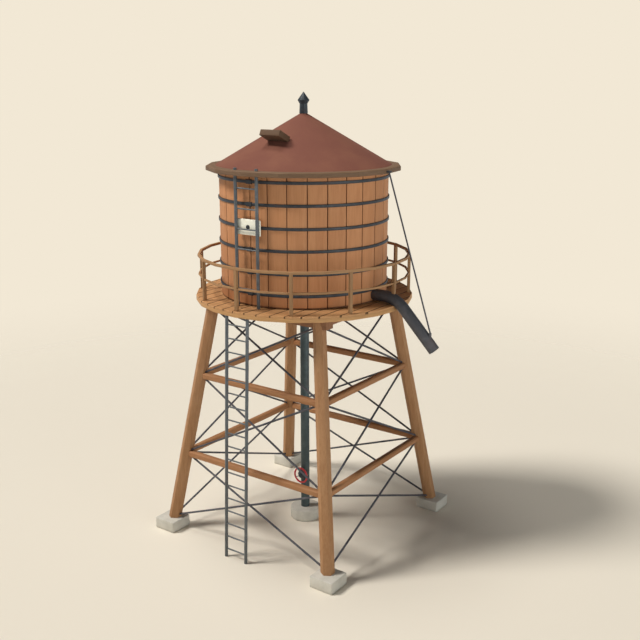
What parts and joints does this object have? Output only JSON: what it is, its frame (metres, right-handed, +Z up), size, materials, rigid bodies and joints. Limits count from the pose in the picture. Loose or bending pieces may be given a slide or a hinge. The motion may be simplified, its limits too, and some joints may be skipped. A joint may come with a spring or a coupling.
{
  "type": "timber water tower",
  "caption": "Round wooden water tank with iron hoops and a conical roof on a braced four-legged timber stand, with railed deck, ladders, spout and riser pipe",
  "frame": {"origin": "on the tank's axis at ground level, under the riser's pier", "axes": "+Z up; the ladders and the gauge board are on the -Y side, the spout points along +X"},
  "size_m": [6.439, 5.5326, 10.754],
  "materials": {
    "concrete": "matt cast concrete",
    "stand_timber": "worn sawn timber",
    "beam_timber": "dark sawn timber",
    "decking": "worn tan boards",
    "stave_wood": "weathered red-brown staves",
    "trim_wood": "dark brown painted wood",
    "roofing": "faded red-brown roofing",
    "painted_iron": "slate grey paint, rusty in places",
    "ladder_steel": "grey paint worn at the edges",
    "board_paint": "cream paint",
    "wheel_paint": "red gloss paint"
  },
  "bodies": {
    "root": {"footing_front_left": "concrete", "footing_front_right": "concrete", "footing_back_right": "concrete", "footing_back_left": "concrete", "riser_pier": "concrete", "leg_front_left": "stand_timber", "leg_front_right": "stand_timber", "leg_back_right": "stand_timber", "leg_back_left": "stand_timber", "girt_lower_front": "stand_timber", "girt_lower_right": "stand_timber", "girt_lower_back": "stand_timber", "girt_lower_left": "stand_timber", "girt_upper_front": "stand_timber", "girt_upper_right": "stand_timber", "girt_upper_back": "stand_timber", "girt_upper_left": "stand_timber", "brace_bottom_front": "painted_iron", "brace_bottom_right": "painted_iron", "brace_bottom_back": "painted_iron", "brace_bottom_left": "painted_iron", "brace_middle_front": "painted_iron", "brace_middle_right": "painted_iron", "brace_middle_back": "painted_iron", "brace_middle_left": "painted_iron", "brace_top_front": "painted_iron", "brace_top_right": "painted_iron", "brace_top_back": "painted_iron", "brace_top_left": "painted_iron", "cap_beam_front": "beam_timber", "cap_beam_back": "beam_timber", "cross_beam_left": "beam_timber", "cross_beam_right": "beam_timber", "deck": "decking", "railing": "decking", "tank_wall_right": "stave_wood", "tank_wall_back": "stave_wood", "tank_wall_left": "stave_wood", "tank_wall_front": "stave_wood", "tank_floor": "stave_wood", "hoop_1": "painted_iron", "hoop_2": "painted_iron", "hoop_3": "painted_iron", "hoop_4": "painted_iron", "hoop_5": "painted_iron", "hoop_6": "painted_iron", "eave_ring": "trim_wood", "roof": "roofing", "finial": "painted_iron", "roof_hatch": "trim_wood", "gauge_board": "board_paint", "gauge_knob": "painted_iron", "upper_ladder": "ladder_steel", "lower_ladder": "ladder_steel", "spout": "painted_iron", "spout_stay": "painted_iron", "riser_pipe": "painted_iron"},
    "wheel": {"valve_wheel": "wheel_paint"}
  },
  "joints": [
    {"name": "valve_wheel_turn", "type": "hinge", "parent": "root", "child": "wheel", "pos_m": [0, -0.19, 1.21], "axis": [0, -1, 0], "continuous": true}
  ]
}
